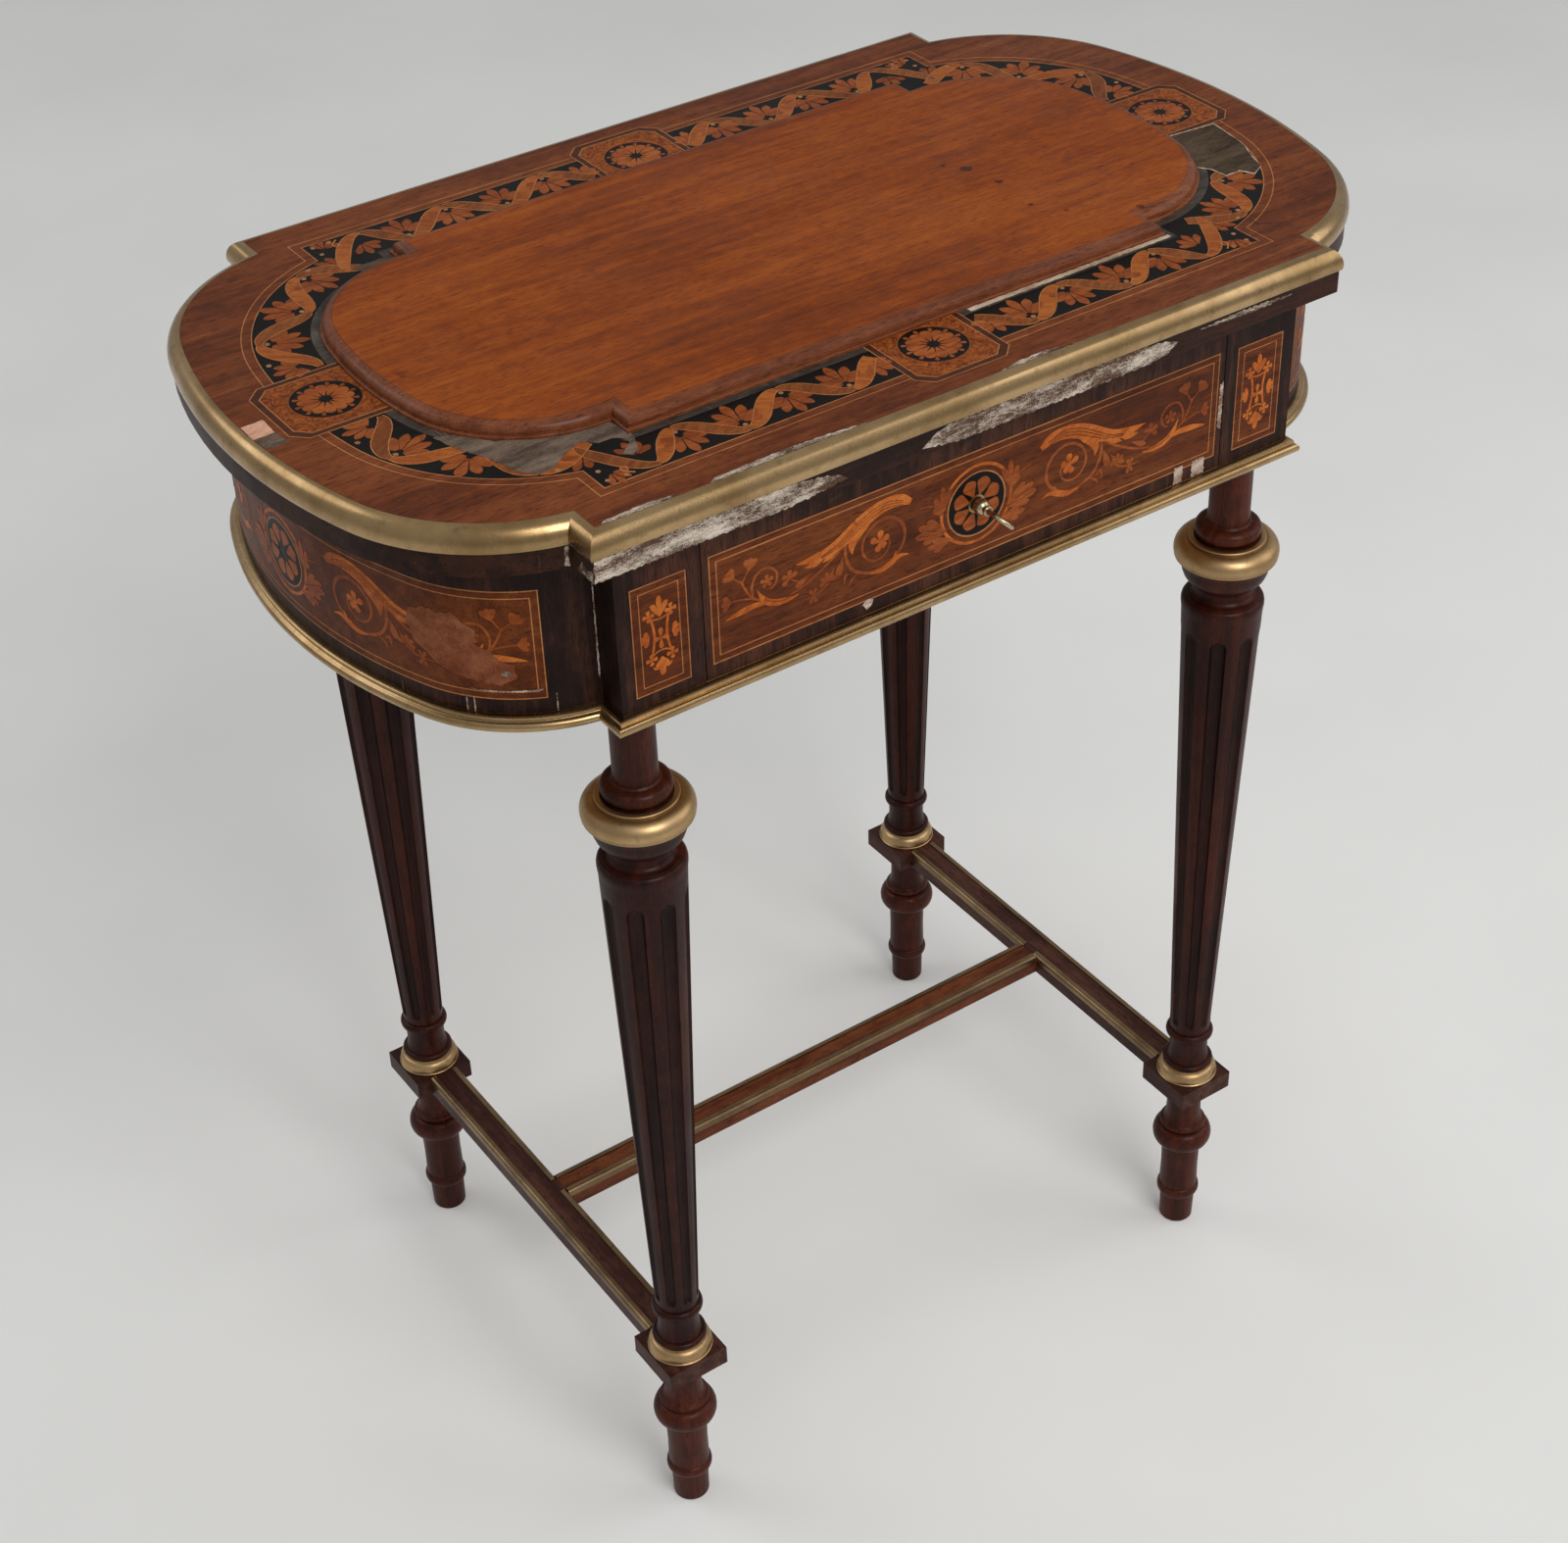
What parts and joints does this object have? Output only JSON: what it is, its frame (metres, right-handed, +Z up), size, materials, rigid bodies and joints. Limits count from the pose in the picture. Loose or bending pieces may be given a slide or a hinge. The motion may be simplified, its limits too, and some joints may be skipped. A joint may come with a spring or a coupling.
{
  "type": "dressing table",
  "caption": "Stepped, bow-ended dressing table: lifting inlaid lid over a mirror and well, frieze drawer with lock and key, fluted turned legs on an H stretcher.",
  "frame": {"origin": "on the floor under the middle of the table", "axes": "+X along the front to the right, +Y from the drawer front to the back, +Z up"},
  "size_m": [0.652, 0.4025, 0.743],
  "materials": {
    "leg_wood": "satin",
    "frieze_veneer": "satin",
    "stretcher_wood": "satin",
    "carcase_wood": "matte",
    "lid_edge_wood": "satin",
    "border_veneer": "satin",
    "panel_veneer": "satin",
    "brass": "satin",
    "steel": "satin",
    "mirror_glass": "polished"
  },
  "bodies": {
    "carcase": {"foot_front_left": "leg_wood", "leg_front_left": "leg_wood", "post_front_left": "frieze_veneer", "foot_front_right": "leg_wood", "leg_front_right": "leg_wood", "post_front_right": "frieze_veneer", "foot_back_left": "leg_wood", "leg_back_left": "leg_wood", "post_back_left": "frieze_veneer", "foot_back_right": "leg_wood", "leg_back_right": "leg_wood", "post_back_right": "frieze_veneer", "stretcher_end_left": "stretcher_wood", "stretcher_brass_left": "brass", "end_apron_left": "frieze_veneer", "side_bearer_left": "carcase_wood", "well_divider_left": "carcase_wood", "hinge_carcase_leaf_left": "brass", "hinge_pin_left": "steel", "stretcher_end_right": "stretcher_wood", "stretcher_brass_right": "brass", "end_apron_right": "frieze_veneer", "side_bearer_right": "carcase_wood", "well_divider_right": "carcase_wood", "hinge_carcase_leaf_right": "brass", "hinge_pin_right": "steel", "stretcher_centre": "stretcher_wood", "stretcher_brass_centre": "brass", "leg_rings": "brass", "leg_collars": "brass", "bottom_board": "carcase_wood", "frieze_moulding": "brass", "back_rail": "frieze_veneer", "drawer_stops": "carcase_wood", "well_floor": "carcase_wood", "well_front": "carcase_wood"},
    "lid": {"lid_board": "lid_edge_wood", "lid_brass": "brass", "lid_border": "border_veneer", "lid_panel": "panel_veneer", "mirror": "mirror_glass", "mirror_frame": "lid_edge_wood", "hinge_lid_leaf_left": "brass", "hinge_lid_leaf_right": "brass"},
    "drawer": {"drawer_front": "frieze_veneer", "drawer_side_left": "carcase_wood", "drawer_side_right": "carcase_wood", "drawer_back": "carcase_wood", "drawer_bottom": "carcase_wood", "lock_case": "brass", "lock_bolt": "steel"},
    "key": {"key": "brass"}
  },
  "joints": [
    {"name": "lid_hinge", "type": "hinge", "parent": "carcase", "child": "lid", "pos_m": [0, 0.1825, 0.7055], "axis": [-1, 0, 0], "range_deg": [0, 110]},
    {"name": "drawer_slide", "type": "slide", "parent": "carcase", "child": "drawer", "axis": [0, -1, 0], "range_m": [0, 0.22]},
    {"name": "key_turn", "type": "hinge", "parent": "drawer", "child": "key", "pos_m": [0, -0.177, 0.659], "axis": [0, 1, 0], "range_deg": [-135, 45]}
  ]
}
